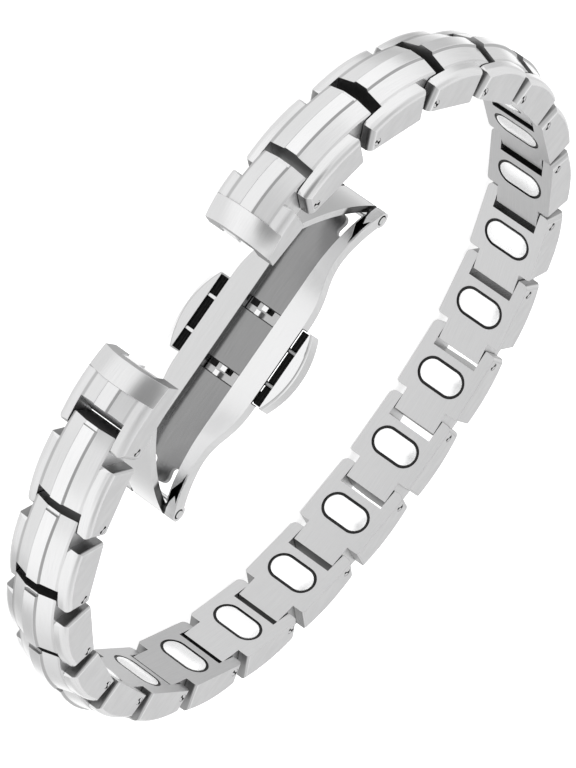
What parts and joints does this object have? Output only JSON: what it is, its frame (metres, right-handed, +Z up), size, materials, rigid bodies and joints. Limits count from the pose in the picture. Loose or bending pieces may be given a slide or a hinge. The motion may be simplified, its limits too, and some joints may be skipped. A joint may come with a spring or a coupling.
{
  "type": "titanium link bracelet",
  "caption": "Titanium link bracelet with magnet inserts and an unfolded double push-button butterfly clasp, lying on its side.",
  "frame": {"origin": "middle of the bracelet's box, on the surface that it rests on", "axes": "+Z up, +X along the clasp towards the lower end link, +Y from the clasp into the loop"},
  "size_m": [0.082, 0.0726, 0.0148],
  "materials": {
    "titanium": "fine satin titanium with bright edges",
    "polished": "polished titanium",
    "magnet": "polished plated magnet",
    "pin": "polished pin end",
    "bedding": "black resin"
  },
  "bodies": {
    "root": {"link_01": "titanium", "link_02": "titanium", "link_03": "titanium", "link_04": "titanium", "link_05": "titanium", "link_06": "titanium", "link_07": "titanium", "link_08": "titanium", "link_09": "titanium", "link_10": "titanium", "link_11": "titanium", "link_12": "titanium", "link_13": "titanium", "link_14": "titanium", "link_15": "titanium", "link_16": "titanium", "link_17": "titanium", "link_18": "titanium", "link_19": "titanium", "link_20": "titanium", "link_21": "titanium", "end_link_lower": "polished", "end_link_upper": "polished", "magnets": "magnet", "magnet_bedding": "bedding", "link_pins": "pin", "clasp_body": "titanium", "clasp_arm_lower": "polished", "clasp_arm_upper": "polished", "clasp_pins": "pin"},
    "button_top": {"button_top": "titanium", "spacer_top": "bedding", "guide_pins_top": "pin", "catch_top": "polished"},
    "button_bottom": {"button_bottom": "titanium", "spacer_bottom": "bedding", "guide_pins_bottom": "pin", "catch_bottom": "polished"}
  },
  "joints": [
    {"name": "button_top_press", "type": "slide", "parent": "root", "child": "button_top", "axis": [0, -0.061, -0.9981], "range_m": [0, 0.0008], "stiffness_N_per_m": 2500},
    {"name": "button_bottom_press", "type": "slide", "parent": "root", "child": "button_bottom", "axis": [0, 0.061, 0.9981], "range_m": [0, 0.0008], "stiffness_N_per_m": 2500}
  ]
}
